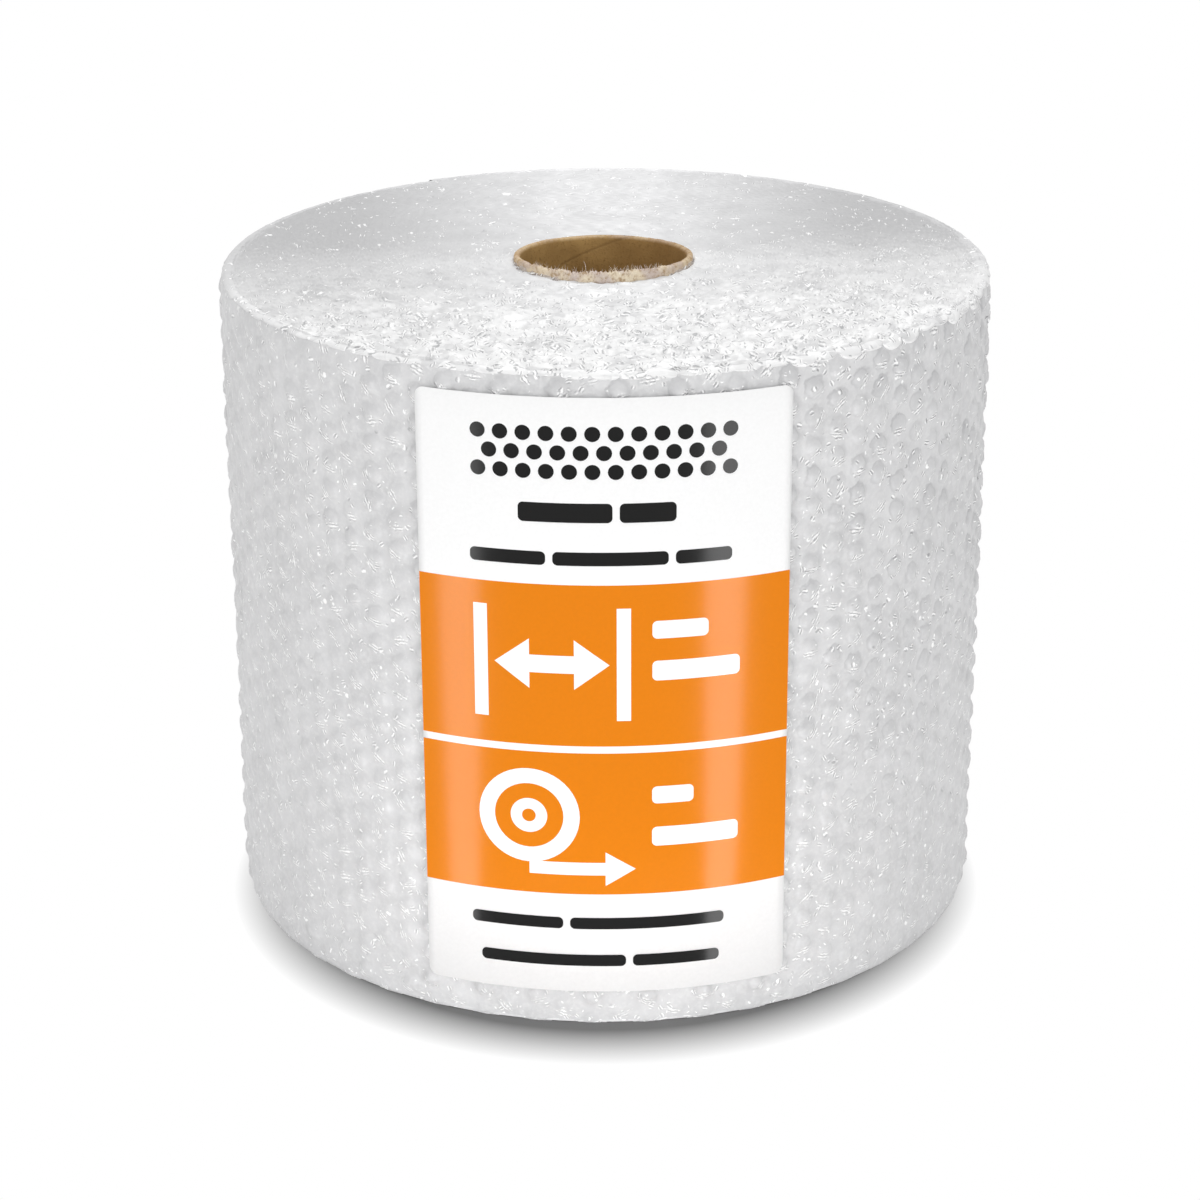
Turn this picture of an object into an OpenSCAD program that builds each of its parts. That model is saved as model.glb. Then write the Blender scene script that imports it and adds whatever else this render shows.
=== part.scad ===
// Roll of bubble film on a cardboard core, standing on one end, with a wraparound paper label.
// The film is one solid: its turns show as fine grooves in both ends, and the outermost turn
// carries the air bubbles and steps down where the film was cut off. Z is up, the label
// faces -Y.

/* [Cardboard core] */
// Bore of the core, which takes the rod of a dispenser
core_bore_d = 76; // [50:1:100]
// Thickness of the core's wall
core_wall = 3; // [2:0.5:8]
// Height of the core's rim above the film at the back of the upper end
core_proud_back = 0.5; // [0:0.5:3]
// Height of the core's rim above the film on the label side, where it was cut askew
core_proud_front = 4.5; // [0.5:0.5:10]

/* [Film] */
// Width of the film, which is the height of the standing roll
film_w = 300; // [296:2:500]
// Radial room that one tightly wound turn takes
turn_pitch = 1.85; // [1.5:0.05:3]
// Turns between the core and the bubbles of the last turn
turns = 72; // [45:1:90]
// Width of the groove between two turns, seen on the ends
groove_w = 0.7; // [0.4:0.1:1.2]
// Depth of that groove
groove_d = 1.2; // [0.4:0.1:2]
// Direction in which the cut end of the film lies, seen from above
cut_end_angle = 120; // [0:5:180]

/* [Bubbles] */
// Height of a bubble on the last turn
bubble_h = 3.6; // [1:0.2:6]
// Bubbles in one column from end to end
bubble_rows = 23; // [8:1:23]
// Pairs of bubble columns round the roll
bubble_column_pairs = 45; // [20:1:45]

/* [Paper label] */
// Width of the label, measured straight across
label_w = 156; // [140:2:200]
// Height of the label
label_h = 272; // [230:2:276]
// Height of the label's lower edge above the roll's lower end
label_z = 18; // [10:1:22]
// Radius of the label's corners
label_corner_r = 4; // [1:0.5:12]
// Thickness of the label
label_t = 0.3; // [0.2:0.1:1]

/* [Hidden] */
$fn = 96;

cut_run = 1; // how far a cutting shape runs past what it cuts
core_r = core_bore_d / 2 + core_wall;
film_r = core_r + turns * turn_pitch;

// The last turn climbs by one pitch in a full round, and its bubbles stand on that slope
front_angle = 270;
bubble_columns = 2 * bubble_column_pairs;
column_step = 360 / bubble_columns;
skin_inset = groove_d + 0.3;
half_rows = 2 * bubble_rows;
half_row_h = (film_w - 2 * skin_inset) / half_rows;
function valley_r(turned) = film_r + turn_pitch * (turned / 360 - 0.5);

// A hidden smooth pad carries the label, and no bubble is drawn under it
pad_inset = 3;
pad_depth = 14;
pad_lift = 0.05;
label_turned = front_angle - cut_end_angle;
label_reach = asin(label_w / 2 / film_r);
pad_r = valley_r(label_turned + label_reach) + bubble_h + pad_lift;
pad_half_angle = asin((label_w / 2 - pad_inset) / pad_r);
// A label longer than the film would hang over its edge, and the pad would stop there
pad_low_z = label_z + pad_inset;
pad_high_z = min(label_z + label_h, film_w) - pad_inset;
hub_r = film_r * 0.97;

// The turns show on each end as rings with a groove between each two
end_disc_r = film_r - turn_pitch / 2 - 0.3;
end_disc_h = 3 * half_row_h;
module end_disc() {
  groove_section = [[-1, 0], [0, groove_d], [1, 0]];
  rotate_extrude()
    polygon(concat(
      [[0, 0]],
      [for (turn = [1 : turns - 1]) for (corner = groove_section)
        [core_r + turn * turn_pitch + corner[0] * groove_w / 2, corner[1]]],
      [[end_disc_r, 0], [end_disc_r, end_disc_h], [0, end_disc_h]]));
}

// The bubbled skin is a net of upright lines, three to a column of bubbles: a bubble's top
// lies on every third line, and its six corners on the lines beside it.
first_line = 0;
last_line = 3 * bubble_columns;
edge_line_points = half_rows + 1;
function line_turned(line) = line * column_step / 3;
function on_edge_line(line) = line == first_line || line == last_line;
function is_top(line, row) = line % 3 == 0 && (line / 3 + row) % 2 == 1 && row > 0 && row < half_rows;
function skin_point(line, row) =
  let (r = valley_r(line_turned(line)) + (is_top(line, row) ? bubble_h : 0),
       a = cut_end_angle + line_turned(line))
  [r * cos(a), r * sin(a), skin_inset + row * half_row_h];

// Odd lines hold the even rows and even lines the odd rows, and the two edge lines hold all
function line_rows(line) =
  on_edge_line(line) ? [0 : half_rows] : line % 2 == 1 ? [0 : 2 : half_rows] : [1 : 2 : half_rows - 1];
function points_before(line) =
  line == first_line ? 0
  : edge_line_points + ceil((line - 1) / 2) * (bubble_rows + 1) + floor((line - 1) / 2) * bubble_rows;
function point_index(line, row) = points_before(line) + (on_edge_line(line) ? row : floor(row / 2));

function under_pad(column, row) =
  let (off = abs(column * column_step - label_turned) + column_step,
       z = skin_inset + row * half_row_h)
  off < pad_half_angle
    && z - 2 * half_row_h > pad_low_z
    && z + 2 * half_row_h < pad_high_z;

// The corners of a bubble's six-sided patch, anticlockwise as seen from outside, with the
// neighbouring patch that lies across the side that starts at each corner
function patch_corners(column, row) =
  let (line = 3 * column)
  [[line + 1, row - 1], [line + 2, row], [line + 1, row + 1],
   [line - 1, row + 1], [line - 2, row], [line - 1, row - 1]];
function patch_neighbours(column, row) =
  [[column + 1, row - 1], [column + 1, row + 1], [column, row + 2],
   [column - 1, row + 1], [column - 1, row - 1], [column, row - 2]];

module bubbled_skin() {
  skin_points = [for (line = [first_line : last_line]) for (row = line_rows(line))
    skin_point(line, row)];
  low_hub = len(skin_points);
  high_hub = low_hub + 1;
  pad_hub = low_hub + 2;
  // The hubs of the flat ends lie off the axis, so that no triangle is without width
  end_hub = [for (a = cut_end_angle - 90) 20 * [cos(a), sin(a)]][0];
  hubs = [
    [end_hub[0], end_hub[1], skin_inset],
    [end_hub[0], end_hub[1], film_w - skin_inset],
    [hub_r * cos(front_angle), hub_r * sin(front_angle), (pad_low_z + pad_high_z) / 2]];

  inner_columns = [1 : bubble_columns - 1];
  tops = [for (column = inner_columns) for (row = [1 : half_rows - 1])
    if ((column + row) % 2 == 1) [column, row]];
  bubbles = [for (t = tops) if (!under_pad(t[0], t[1]))
    let (corners = patch_corners(t[0], t[1]))
    for (i = [0 : 5])
      [point_index(3 * t[0], t[1]),
       point_index(corners[i][0], corners[i][1]),
       point_index(corners[(i + 1) % 6][0], corners[(i + 1) % 6][1])]];
  pad_floor = [for (t = tops) if (under_pad(t[0], t[1]))
    let (corners = patch_corners(t[0], t[1]), beside = patch_neighbours(t[0], t[1]))
    for (i = [0 : 5]) if (!under_pad(beside[i][0], beside[i][1]))
      [pad_hub,
       point_index(corners[i][0], corners[i][1]),
       point_index(corners[(i + 1) % 6][0], corners[(i + 1) % 6][1])]];

  // Odd columns end in half a bubble, which is flat
  odd_columns = [1 : 2 : bubble_columns - 1];
  low_edge = [for (column = odd_columns) let (line = 3 * column) each [
    [point_index(line, 0), point_index(line + 2, 0), point_index(line + 1, 1)],
    [point_index(line, 0), point_index(line + 1, 1), point_index(line - 1, 1)],
    [point_index(line, 0), point_index(line - 1, 1), point_index(line - 2, 0)]]];
  top_row = half_rows;
  high_edge = [for (column = odd_columns) let (line = 3 * column) each [
    [point_index(line, top_row), point_index(line + 1, top_row - 1), point_index(line + 2, top_row)],
    [point_index(line, top_row), point_index(line - 1, top_row - 1), point_index(line + 1, top_row - 1)],
    [point_index(line, top_row), point_index(line - 2, top_row), point_index(line - 1, top_row - 1)]]];

  // The film was cut straight through the first column's bubbles
  cut_tops = [1 : 2 : half_rows - 1];
  cut_starts = [for (row = cut_tops) let (line = first_line, top = point_index(line, row)) each [
    [top, point_index(line, row - 1), point_index(line + 1, row - 1)],
    [top, point_index(line + 1, row - 1), point_index(line + 2, row)],
    [top, point_index(line + 2, row), point_index(line + 1, row + 1)],
    [top, point_index(line + 1, row + 1), point_index(line, row + 1)]]];
  cut_ends = [for (row = cut_tops) let (line = last_line, top = point_index(line, row)) each [
    [top, point_index(line, row + 1), point_index(line - 1, row + 1)],
    [top, point_index(line - 1, row + 1), point_index(line - 2, row)],
    [top, point_index(line - 2, row), point_index(line - 1, row - 1)],
    [top, point_index(line - 1, row - 1), point_index(line, row - 1)]]];
  cut_step = [for (row = [0 : half_rows - 1])
    let (inner = point_index(first_line, row), outer = point_index(last_line, row)) each [
      [outer, inner + 1, outer + 1],
      [outer, inner, inner + 1]]];

  rim_lines = concat([first_line], [for (line = [1 : 2 : last_line - 1]) line], [last_line]);
  rims = [for (i = [0 : len(rim_lines) - 1])
    let (line = rim_lines[i], next = rim_lines[(i + 1) % len(rim_lines)]) each [
      [low_hub, point_index(next, 0), point_index(line, 0)],
      [high_hub, point_index(line, top_row), point_index(next, top_row)]]];

  anticlockwise = concat(
    bubbles, pad_floor, low_edge, high_edge, cut_starts, cut_ends, cut_step, rims);
  polyhedron(
    points = concat(skin_points, hubs),
    faces = [for (face = anticlockwise) [face[0], face[2], face[1]]]);
}

module label_pad() {
  rotate([0, 0, front_angle - pad_half_angle])
    rotate_extrude(angle = 2 * pad_half_angle)
      translate([pad_r - pad_depth, pad_low_z])
        square([pad_depth, pad_high_z - pad_low_z]);
}

module bubble_film() {
  color("gainsboro")
    difference() {
      union() {
        bubbled_skin();
        end_disc();
        translate([0, 0, film_w]) mirror([0, 0, 1]) end_disc();
        label_pad();
      }
      translate([0, 0, -cut_run]) cylinder(r = core_r, h = film_w + 2 * cut_run);
    }
}

// Everything above the askew cut through the core's upper end
module above_core_cut() {
  back_z = film_w + core_proud_back;
  front_z = film_w + core_proud_front;
  slope = (front_z - back_z) / (2 * core_r);
  reach = core_r + cut_run;
  clear_z = film_w + core_proud_front + core_wall;
  rotate([90, 0, 90])
    translate([0, 0, -reach])
      linear_extrude(2 * reach)
        polygon([
          [-reach, front_z + slope * cut_run],
          [reach, back_z - slope * cut_run],
          [reach, clear_z],
          [-reach, clear_z]]);
}

module core_tube() {
  core_h = film_w + core_proud_front;
  color("peru")
    difference() {
      cylinder(r = core_r, h = core_h);
      translate([0, 0, -cut_run]) cylinder(d = core_bore_d, h = core_h + 2 * cut_run);
      above_core_cut();
    }
}

module label_blank() {
  across = label_w - 2 * label_corner_r;
  along = label_h - 2 * label_corner_r;
  translate([-across / 2, 0]) square([across, label_h]);
  translate([-label_w / 2, label_corner_r]) square([label_w, along]);
  for (x = [-across / 2, across / 2]) for (z = [label_corner_r, label_h - label_corner_r])
    translate([x, z]) circle(r = label_corner_r);
}

module paper_label() {
  color("orange")
    translate([0, 0, label_z])
      intersection() {
        translate([0, 0, -cut_run])
          difference() {
            cylinder(r = pad_r + label_t, h = label_h + 2 * cut_run, $fn = 256);
            translate([0, 0, -cut_run])
              cylinder(r = pad_r, h = label_h + 4 * cut_run, $fn = 256);
          }
        rotate([90, 0, 0]) linear_extrude(pad_r + cut_run) label_blank();
      }
}

bubble_film();
core_tube();
paper_label();
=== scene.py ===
# %% [markdown]
# # A roll of bubble film, standing on end
#
# The roll is clear plastic film full of air bubbles, wound on a cardboard core, with a large
# glossy label on its front. A CAD model gives the exact sizes. This script loads it as a frame
# and builds the looks around it: the crumpled film, its edges, the torn core and the label.
# Everything is in metres, with Z up and the label facing -Y.

# %% Load the frame
import math
import random

import bpy
import bmesh
import numpy as np
from mathutils import Matrix, Vector, noise


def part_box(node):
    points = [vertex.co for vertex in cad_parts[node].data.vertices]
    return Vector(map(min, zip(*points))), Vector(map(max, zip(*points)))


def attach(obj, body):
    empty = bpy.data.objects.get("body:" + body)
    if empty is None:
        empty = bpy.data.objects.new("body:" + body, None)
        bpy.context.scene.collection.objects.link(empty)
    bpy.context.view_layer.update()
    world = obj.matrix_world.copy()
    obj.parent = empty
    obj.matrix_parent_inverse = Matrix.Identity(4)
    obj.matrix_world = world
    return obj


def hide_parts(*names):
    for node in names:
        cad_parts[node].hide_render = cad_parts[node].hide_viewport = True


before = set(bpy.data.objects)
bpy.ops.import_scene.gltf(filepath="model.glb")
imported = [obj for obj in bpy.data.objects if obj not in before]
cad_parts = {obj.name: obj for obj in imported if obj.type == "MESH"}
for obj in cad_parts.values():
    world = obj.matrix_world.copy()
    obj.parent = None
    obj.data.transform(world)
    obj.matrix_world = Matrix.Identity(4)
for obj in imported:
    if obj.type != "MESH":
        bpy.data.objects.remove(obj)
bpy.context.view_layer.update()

# %% [markdown]
# ## Sizes
#
# Real sizes are read from the frame wherever it holds them, so the looks stay on the solids.
# What the frame can't tell, such as the room that one turn of film takes, is a named value.

# %% Sizes from the frame
MM = 0.001
film_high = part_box("bubble_film")[1]
core_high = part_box("core_tube")[1]
label_low, label_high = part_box("paper_label")
roll_height = film_high.z
core_radius = core_high.x
core_wall = 3 * MM
core_top = core_high.z
label_radius = -label_low.y
label_thickness = 0.3 * MM
film_turn = 1.85 * MM
wound_turns = 72
film_radius = core_radius + wound_turns * film_turn
cut_end = math.radians(120)
print("roll height", round(roll_height, 4), "film radius", round(film_radius, 4))
print("label radius", round(label_radius, 4), "core radius", round(core_radius, 4))

# %% [markdown]
# ## Camera
#
# The photo was taken from in front and a little above, with a long lens. The camera's place was
# worked out from the outline of the roll. It could be turned by three angles, but a matrix made
# of its three directions avoids any doubt about the order of turns.

# %% Camera
CAMERA_DISTANCE = 1.3998
CAMERA_HEIGHT = 0.6825
LOOK_DOWN = math.radians(21.47)
LOOK_RIGHT = math.radians(-0.09)
CAMERA_ROLL = math.radians(-0.25)
LENS_PIXELS = 3155.9
IMAGE_PIXELS = 1200


def add_object(name, data):
    thing = bpy.data.objects.new(name, data)
    bpy.context.scene.collection.objects.link(thing)
    return thing


def make_camera():
    forward = Vector((math.sin(LOOK_RIGHT) * math.cos(LOOK_DOWN),
                      math.cos(LOOK_RIGHT) * math.cos(LOOK_DOWN),
                      -math.sin(LOOK_DOWN)))
    level_right = Vector((math.cos(LOOK_RIGHT), -math.sin(LOOK_RIGHT), 0))
    level_up = level_right.cross(forward)
    right = math.cos(CAMERA_ROLL) * level_right + math.sin(CAMERA_ROLL) * level_up
    up = right.cross(forward)
    lens = bpy.data.cameras.new("camera")
    lens.sensor_width = 36
    lens.lens = lens.sensor_width * LENS_PIXELS / IMAGE_PIXELS
    camera = add_object("camera", lens)
    camera.matrix_world = Matrix((
        (right.x, up.x, -forward.x, 0),
        (right.y, up.y, -forward.y, -CAMERA_DISTANCE),
        (right.z, up.z, -forward.z, CAMERA_HEIGHT),
        (0, 0, 0, 1)))
    bpy.context.scene.camera = camera
    return camera


camera = make_camera()
print("lens", round(camera.data.lens, 1), "mm")

# %% [markdown]
# ## Helpers for meshes
#
# Every piece is a mesh made from arrays of points and faces, which numpy works out quickly.
# Most of them are grids bent round the roll, so the faces of a grid and the step from radius
# and angle to a point are helpers.

# %% Mesh helpers
def new_mesh(name, points, faces):
    mesh = bpy.data.meshes.new(name)
    mesh.from_pydata([tuple(p) for p in points], [], [tuple(f) for f in faces])
    return mesh


def make_piece(name, mesh):
    """Makes a smooth-shaded piece of the roll that rides on its one body."""
    mesh.shade_smooth()
    piece = add_object(name, mesh)
    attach(piece, "root")
    print(name, "has", sum(len(f.vertices) - 2 for f in mesh.polygons), "triangles")
    return piece


def grid_faces(lines, length, first=0):
    """Faces between the lines of a grid, whose points are numbered line by line."""
    starts = [first + line * length + k for line in range(lines - 1) for k in range(length - 1)]
    return [(a, a + 1, a + length + 1, a + length) for a in starts]


def round_points(radius, angle, height):
    return np.stack([radius * np.cos(angle), radius * np.sin(angle), height], axis=1)


def wander(points, size, shift=0.0):
    """Smooth noise from -1 to 1 at every point, with bumps about one size apart."""
    offset = Vector((shift, 2 * shift, 3 * shift))
    return np.array([noise.noise(Vector(p) / size + offset) for p in points])


def point_values(piece, name, values):
    attribute = piece.data.attributes.new(name, "FLOAT", "POINT")
    attribute.data.foreach_set("value", np.asarray(values, np.float32))


# %% [markdown]
# ## Helpers for materials
#
# A material is a tree of nodes wired to each other. Written out, each node takes several lines,
# so one small class holds a tree and adds the usual nodes to it. Its methods take numbers,
# colours or other nodes' outputs, and most of them give back the new node's output.

# %% Node helpers
class Wiring:
    """Adds nodes to one tree and wires them."""

    def __init__(self, tree):
        self.tree = tree

    def add(self, kind, **settings):
        node = self.tree.nodes.new(kind)
        for name, value in settings.items():
            setattr(node, name, value)
        return node

    def feed(self, socket, value):
        if isinstance(value, bpy.types.NodeSocket):
            self.tree.links.new(value, socket)
        elif value is not None:
            socket.default_value = value

    def fill(self, node, values):
        """Feeds the inputs that are named in a dictionary."""
        for name, value in values.items():
            self.feed(node.inputs[name], value)
        return node

    def math(self, operation, first, second=None, clamp=False):
        node = self.add("ShaderNodeMath", operation=operation, use_clamp=clamp)
        self.feed(node.inputs[0], first)
        self.feed(node.inputs[1], second)
        return node.outputs[0]

    def chain(self, operation, values, clamp=False):
        """Values taken together one by one. A clamp holds the end result from 0 to 1."""
        result = values[0]
        for k, value in enumerate(values[1:], 2):
            result = self.math(operation, result, value, clamp and k == len(values))
        return result

    def product(self, *values, clamp=False):
        return self.chain("MULTIPLY", values, clamp)

    def total(self, *values, clamp=False):
        return self.chain("ADD", values, clamp)

    def largest(self, *values):
        return self.chain("MAXIMUM", values)

    def difference(self, first, second):
        return self.math("SUBTRACT", first, second)

    def vector(self, operation, first, second=None):
        node = self.add("ShaderNodeVectorMath", operation=operation)
        self.feed(node.inputs[0], first)
        self.feed(node.inputs[1], second)
        return node.outputs["Value" if operation in ("DOT_PRODUCT", "LENGTH") else "Vector"]

    def split(self, vector):
        """The three parts of a vector."""
        node = self.add("ShaderNodeSeparateXYZ")
        self.feed(node.inputs[0], vector)
        return node.outputs

    def ramp(self, value, low, high, out_low=0.0, out_high=1.0):
        """A value taken from one range to another, and held inside it."""
        node = self.add("ShaderNodeMapRange", clamp=True)
        self.fill(node, {"Value": value, "From Min": low, "From Max": high,
                         "To Min": out_low, "To Max": out_high})
        return node.outputs["Result"]

    def mix(self, share, first, second):
        """The first colour, turning into the second as the share goes from 0 to 1."""
        node = self.add("ShaderNodeMix", data_type="RGBA")
        for socket, value in zip((node.inputs[0], node.inputs[6], node.inputs[7]), (share, first, second)):
            self.feed(socket, value)
        return node.outputs[2]

    def noise(self, vector, scale, detail=2.0, roughness=0.5):
        node = self.add("ShaderNodeTexNoise")
        self.fill(node, {"Vector": vector, "Scale": scale, "Detail": detail, "Roughness": roughness})
        return node.outputs["Fac"]

    def read(self, name):
        """The number that point_values stored on the mesh."""
        return self.add("ShaderNodeAttribute", attribute_name=name).outputs["Fac"]

    def bump(self, surface, height, distance, strength):
        node = self.add("ShaderNodeBump")
        self.fill(node, {"Height": height, "Distance": distance, "Strength": strength})
        self.feed(surface.inputs["Normal"], node.outputs["Normal"])


# %% Materials, groups and colours
def new_material(name):
    """A material, its wiring, its Principled surface and the place on the object."""
    material = bpy.data.materials.new(name)
    material.use_nodes = True
    wire = Wiring(material.node_tree)
    surface = material.node_tree.nodes["Principled BSDF"]
    return material, wire, surface, wire.add("ShaderNodeTexCoord").outputs["Object"]


def dress(material, *pieces):
    for piece in pieces:
        piece.data.materials.append(material)
    print(material.name, "on", [piece.name for piece in pieces])


def new_group(name, vectors, numbers, results):
    """A node group with named vector inputs, number inputs and number outputs."""
    group = bpy.data.node_groups.new(name, "ShaderNodeTree")
    sockets = ((vectors, "INPUT", "NodeSocketVector"), (numbers, "INPUT", "NodeSocketFloat"),
               (results, "OUTPUT", "NodeSocketFloat"))
    for names, direction, kind in sockets:
        for socket in names:
            group.interface.new_socket(name=socket, in_out=direction, socket_type=kind)
    wire = Wiring(group)
    return group, wire, wire.add("NodeGroupInput").outputs, wire.add("NodeGroupOutput")


def srgb(red, green, blue):
    """A colour given as it shows on screen, from 0 to 255, as the linear values that shaders take."""
    linear = [(c / 255 / 12.92) if c <= 10 else ((c / 255 + 0.055) / 1.055) ** 2.4
              for c in (red, green, blue)]
    return (*linear, 1.0)


def grey(level, bluer=0):
    """A grey as it shows on screen, with a trace more blue where it is asked for."""
    return srgb(level, level, level + bluer)


print("middle grey is", [round(c, 3) for c in grey(128)])

# %% [markdown]
# ## Node group: bundles of wrinkles, with painted glints and shade
#
# Crumpled film glints in bundles of short straight wrinkles, each bundle turned its own way,
# with a dark flank beside each bright one. The glints are painted highlights in the colour and
# the flanks are painted shade, while the wrinkles' relief is a bump. They could be modelled, but
# they are finer than any mesh of this size. Both the side and the ends of the roll have them, so
# they are one node group. A Voronoi texture gives each bundle a cell with a middle and a random
# colour. The colour is read as a direction, and a sine across it draws parallel strokes that
# stop at the cell's reach. White noise from the cell's middle decides which cells hold any.

# %% Node group: bundles of wrinkles, with painted glints and shade
def make_wrinkle_group():
    group, wire, inside, outside = new_group(
        "film_wrinkles_and_glints", ["Vector"], ["Bundles per metre", "Wrinkles per metre", "Share", "Reach"],
        ["Bright", "Painted shade", "Height", "Facet"])
    place = inside["Vector"]
    cell_node = wire.add("ShaderNodeTexVoronoi", feature="F1")
    cells = wire.fill(cell_node, {"Vector": place, "Scale": inside["Bundles per metre"]}).outputs

    from_middle = wire.vector("SUBTRACT", place, cells["Position"])
    direction = wire.vector("NORMALIZE", wire.vector("SUBTRACT", cells["Color"], (0.5, 0.5, 0.5)))
    across = wire.vector("DOT_PRODUCT", from_middle, direction)
    waves = wire.product(inside["Wrinkles per metre"], 2 * math.pi)
    slow_bend = wire.product(wire.noise(place, 160, detail=1), 9.0)
    quick_bend = wire.product(wire.noise(place, 650, detail=1), 3.5)
    bend = wire.total(slow_bend, quick_bend)
    stripe = wire.math("SINE", wire.total(wire.product(across, waves), bend))

    dice_node = wire.add("ShaderNodeTexWhiteNoise", noise_dimensions="3D")
    dice = wire.fill(dice_node, {"Vector": cells["Position"]}).outputs["Value"]
    held = wire.math("LESS_THAN", dice, inside["Share"])
    near = wire.difference(inside["Reach"], cells["Distance"])
    shown = wire.product(held, wire.product(near, 9.0, clamp=True))
    # Bright stripes are painted glints, and dark stripes are painted shade along their flanks
    painted_highlight = wire.product(wire.difference(stripe, 0.2), 3.0, clamp=True)
    painted_shade = wire.product(wire.difference(wire.product(stripe, -1.0), 0.6), 4.0, clamp=True)
    wire.fill(outside, {"Bright": wire.product(shown, painted_highlight), "Painted shade": wire.product(shown, painted_shade),
                        "Height": wire.product(shown, stripe), "Facet": dice})
    return group


wrinkle_group = make_wrinkle_group()
print("group", wrinkle_group.name, "has", len(wrinkle_group.nodes), "nodes")


def place_wrinkles(wire, vector, bundles, wrinkles, share, reach):
    node = wire.add("ShaderNodeGroup", node_tree=wrinkle_group)
    wire.fill(node, {"Vector": vector, "Bundles per metre": bundles, "Wrinkles per metre": wrinkles,
                     "Share": share, "Reach": reach})
    return node.outputs


# %% [markdown]
# ## The film's last turn
#
# Air bubbles stand on the outside in upright columns, each column half a step off its
# neighbours. A displaced cylinder would need millions of faces to draw round bubbles, so each
# bubble gets its own small patch: a six-sided border that neighbours share, and three rings
# that rise to a flattened dome. Some bubbles are dented, and a few have lost their air.

# %% Shape of the last turn
BUBBLE_COLUMNS = 90
BUBBLE_ROWS = 23
BUBBLE_STEP = 2 * math.pi / BUBBLE_COLUMNS
ROWS_START = 1.5 * MM
HALF_ROW = (roll_height - 2 * ROWS_START) / (2 * BUBBLE_ROWS)
SKIN_LIFT = 0.7 * MM
SHOULDER_TALL = 9 * MM
SHOULDER_DEEP = 1.6 * MM
SKIN_TOP = roll_height - 1.6 * MM


def skin_radius(turned, height):
    """The radius of the film between the bubbles: it winds outwards, and curls in at both ends."""
    winding = film_radius + SKIN_LIFT + film_turn * (turned / (2 * math.pi) - 0.5)
    from_end = np.minimum(height, roll_height - height)
    curl = np.clip(1 - from_end / SHOULDER_TALL, 0, 1) ** 2
    return winding - SHOULDER_DEEP * curl


print("bubbles:", BUBBLE_COLUMNS, "columns of", BUBBLE_ROWS, "and", round(2 * HALF_ROW / MM, 1), "mm apart")

# %% How full each bubble is
# Bubbles under the label stand as high as the label presses them
PRESSED_FULLNESS = 1.35
# The share of bubbles that have lost their air, and how full those are
LOST_AIR_SHARE, LOST_AIR_FULLNESS = 0.08, 0.3
# Below this height the roll's own weight has flattened the bubbles a little
CLEAR_ABOVE = 0.2


def clear_share(angle):
    """How plainly bubbles show: 0 at the front left, where they are pressed flat, 1 elsewhere."""
    behind = min(max(3 * math.sin(angle), 0), 1)
    share = min(max((math.cos(angle) + 0.35) / 1.3 + behind, 0), 1)
    return share * share * (3 - 2 * share)


def under_label(angle, height):
    """Whether a bubble's middle lies under the label or just outside it."""
    beside = math.asin(label_high.x / label_radius) + 0.3 * BUBBLE_STEP
    off_front = abs((angle + math.pi / 2 + math.pi) % (2 * math.pi) - math.pi)
    return off_front < beside and label_low.z - HALF_ROW < height < label_high.z + HALF_ROW


def bubble_fullness(chance, angle, height):
    fullness = chance.uniform(0.6, 1.0)
    if chance.random() < LOST_AIR_SHARE:
        fullness = LOST_AIR_FULLNESS
    fullness *= 0.6 + 0.4 * clear_share(angle) * min(height / CLEAR_ABOVE, 1)
    return PRESSED_FULLNESS if under_label(angle, height) else fullness


print("share of clear bubbles at the front left:", round(clear_share(math.radians(215)), 2))

# %% One bubble's patch
BUBBLE_HEIGHT = 2.3 * MM
BUBBLE_RADIUS = 5.0 * MM
RING_POINTS = 12
# Each ring's radius and height as shares of the bubble's own
BUBBLE_RINGS = ((0.96, 0.08), (0.74, 0.5), (0.42, 0.88))
# The border's twelve points, in sixths of a column and of half a row from the bubble's middle
LATTICE_CORNERS = ((4, 0), (3, 3), (2, 6), (0, 6), (-2, 6), (-3, 3),
                   (-4, 0), (-3, -3), (-2, -6), (0, -6), (2, -6), (3, -3))


class SkinDraft:
    """The last turn laid flat. A face's corner is a point's number and its place in its bubble."""

    def __init__(self):
        self.points = []
        self.faces = []
        self.border = {}

    def add_point(self, turned, height, lift):
        self.points.append((turned, height, lift))
        return len(self.points) - 1

    def border_point(self, across, along):
        """A point of the lattice, made once and shared by the bubbles round it."""
        if (across, along) not in self.border:
            self.border[across, along] = self.add_point(
                across / 6 * BUBBLE_STEP, ROWS_START + along / 6 * HALF_ROW, 0)
        return self.border[across, along]


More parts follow.
